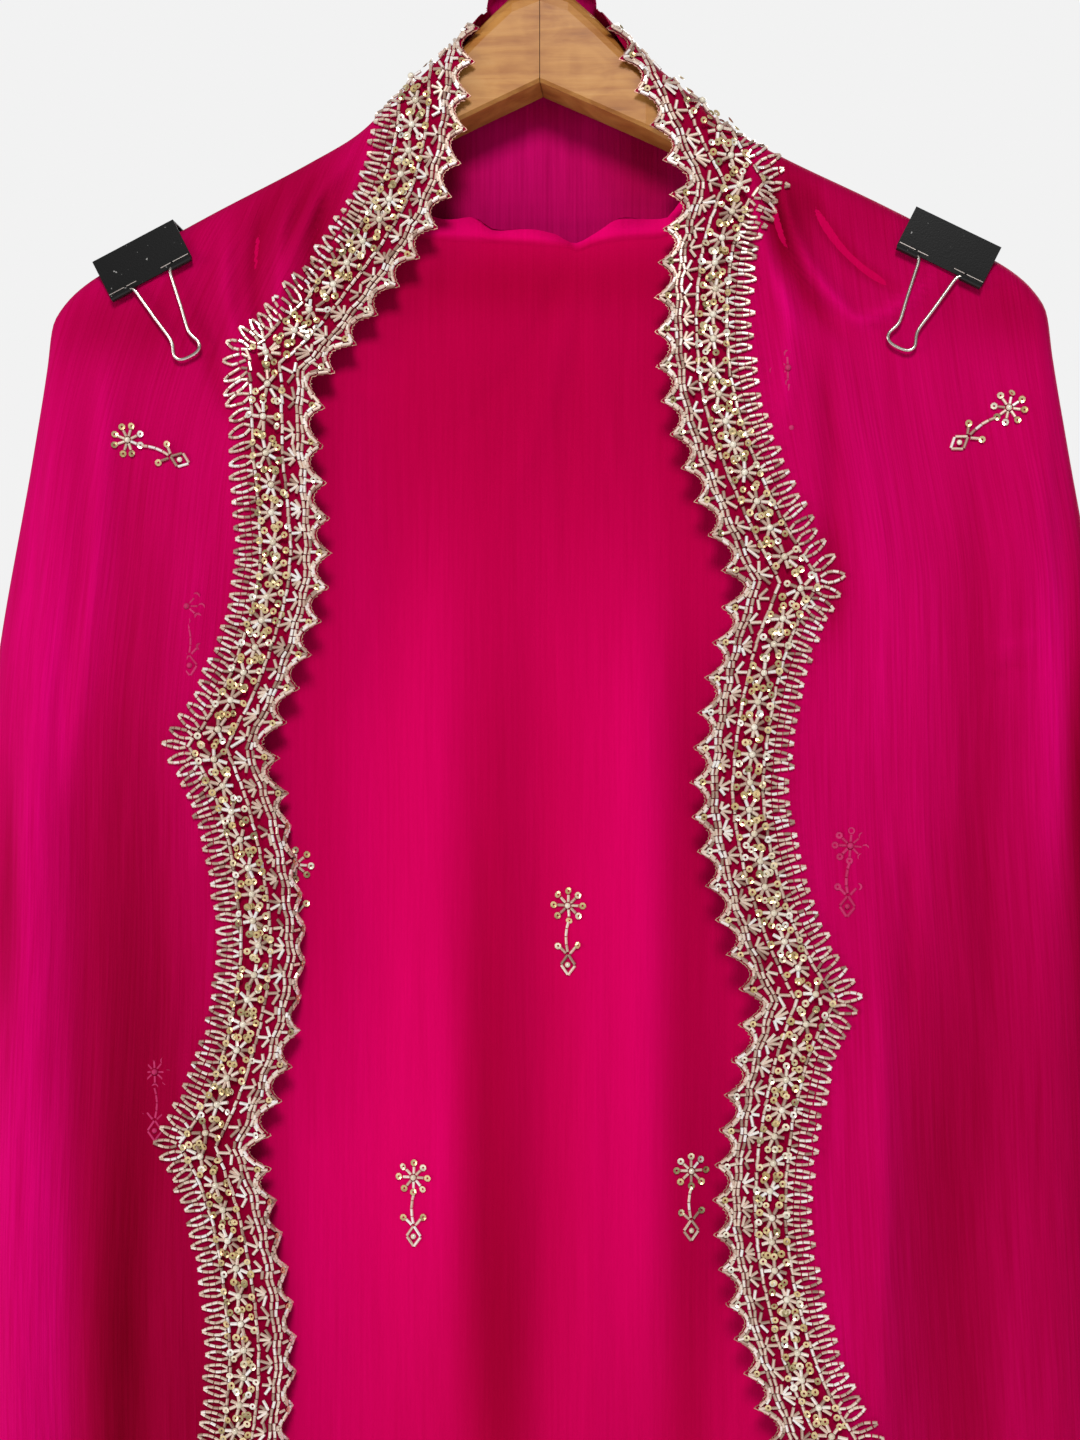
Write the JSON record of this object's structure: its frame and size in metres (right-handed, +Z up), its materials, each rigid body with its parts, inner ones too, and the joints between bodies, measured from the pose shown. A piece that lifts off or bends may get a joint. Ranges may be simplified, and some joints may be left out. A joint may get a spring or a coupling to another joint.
{
  "type": "dupatta stole on a hanger",
  "caption": "Long chiffon stole with a scalloped beaded border, draped over a wooden hanger as over shoulders and held by two binder clips.",
  "frame": {"origin": "underside of the hook's top bend, where it hangs on a rod", "axes": "+Z up, -Y the front of the garment, +X to the viewer's right"},
  "size_m": [0.5452, 0.041, 1.254],
  "materials": {
    "chiffon": "crinkled fuchsia chiffon, soft sheen",
    "chiffon_inside": "the same chiffon doubled over white light, redder and smoother",
    "beadwork": "pale gold bugle beads, sequins and pearls on net edging",
    "wood": "clear satin lacquer over golden brown wood",
    "black_paint": "worn black gloss paint on spring steel",
    "plated_wire": "bright nickel plate"
  },
  "bodies": {
    "stole_on_hanger": {"back_stretch": "chiffon", "border_left": "beadwork", "border_neck": "beadwork", "border_right": "beadwork", "clip_left_body": "black_paint", "clip_right_body": "black_paint", "front_left": "chiffon", "front_right": "chiffon", "hanger_arm_left": "wood", "hanger_arm_right": "wood", "hanger_ferrule": "plated_wire", "hanger_hook": "plated_wire", "inner_panel": "chiffon_inside", "return_left": "chiffon", "return_right": "chiffon"},
    "clip_left_handle_back": {"clip_left_handle_back": "plated_wire"},
    "clip_left_handle_front": {"clip_left_handle_front": "plated_wire"},
    "clip_right_handle_back": {"clip_right_handle_back": "plated_wire"},
    "clip_right_handle_front": {"clip_right_handle_front": "plated_wire"}
  },
  "joints": [
    {"name": "clip_left_swing_back", "type": "hinge", "parent": "stole_on_hanger", "child": "clip_left_handle_back", "pos_m": [-0.16797, 0.0108, -0.18945], "axis": [0.8927, 0, 0.4506], "range_deg": [0, 150]},
    {"name": "clip_left_swing_front", "type": "hinge", "parent": "stole_on_hanger", "child": "clip_left_handle_front", "pos_m": [-0.16797, -0.0117, -0.18945], "axis": [-0.8927, 0, -0.4506], "range_deg": [0, 150]},
    {"name": "clip_right_swing_back", "type": "hinge", "parent": "stole_on_hanger", "child": "clip_right_handle_back", "pos_m": [0.16797, 0.0108, -0.18945], "axis": [0.8927, 0, -0.4506], "range_deg": [0, 150]},
    {"name": "clip_right_swing_front", "type": "hinge", "parent": "stole_on_hanger", "child": "clip_right_handle_front", "pos_m": [0.16797, -0.0117, -0.18945], "axis": [-0.8927, 0, 0.4506], "range_deg": [0, 150]}
  ]
}
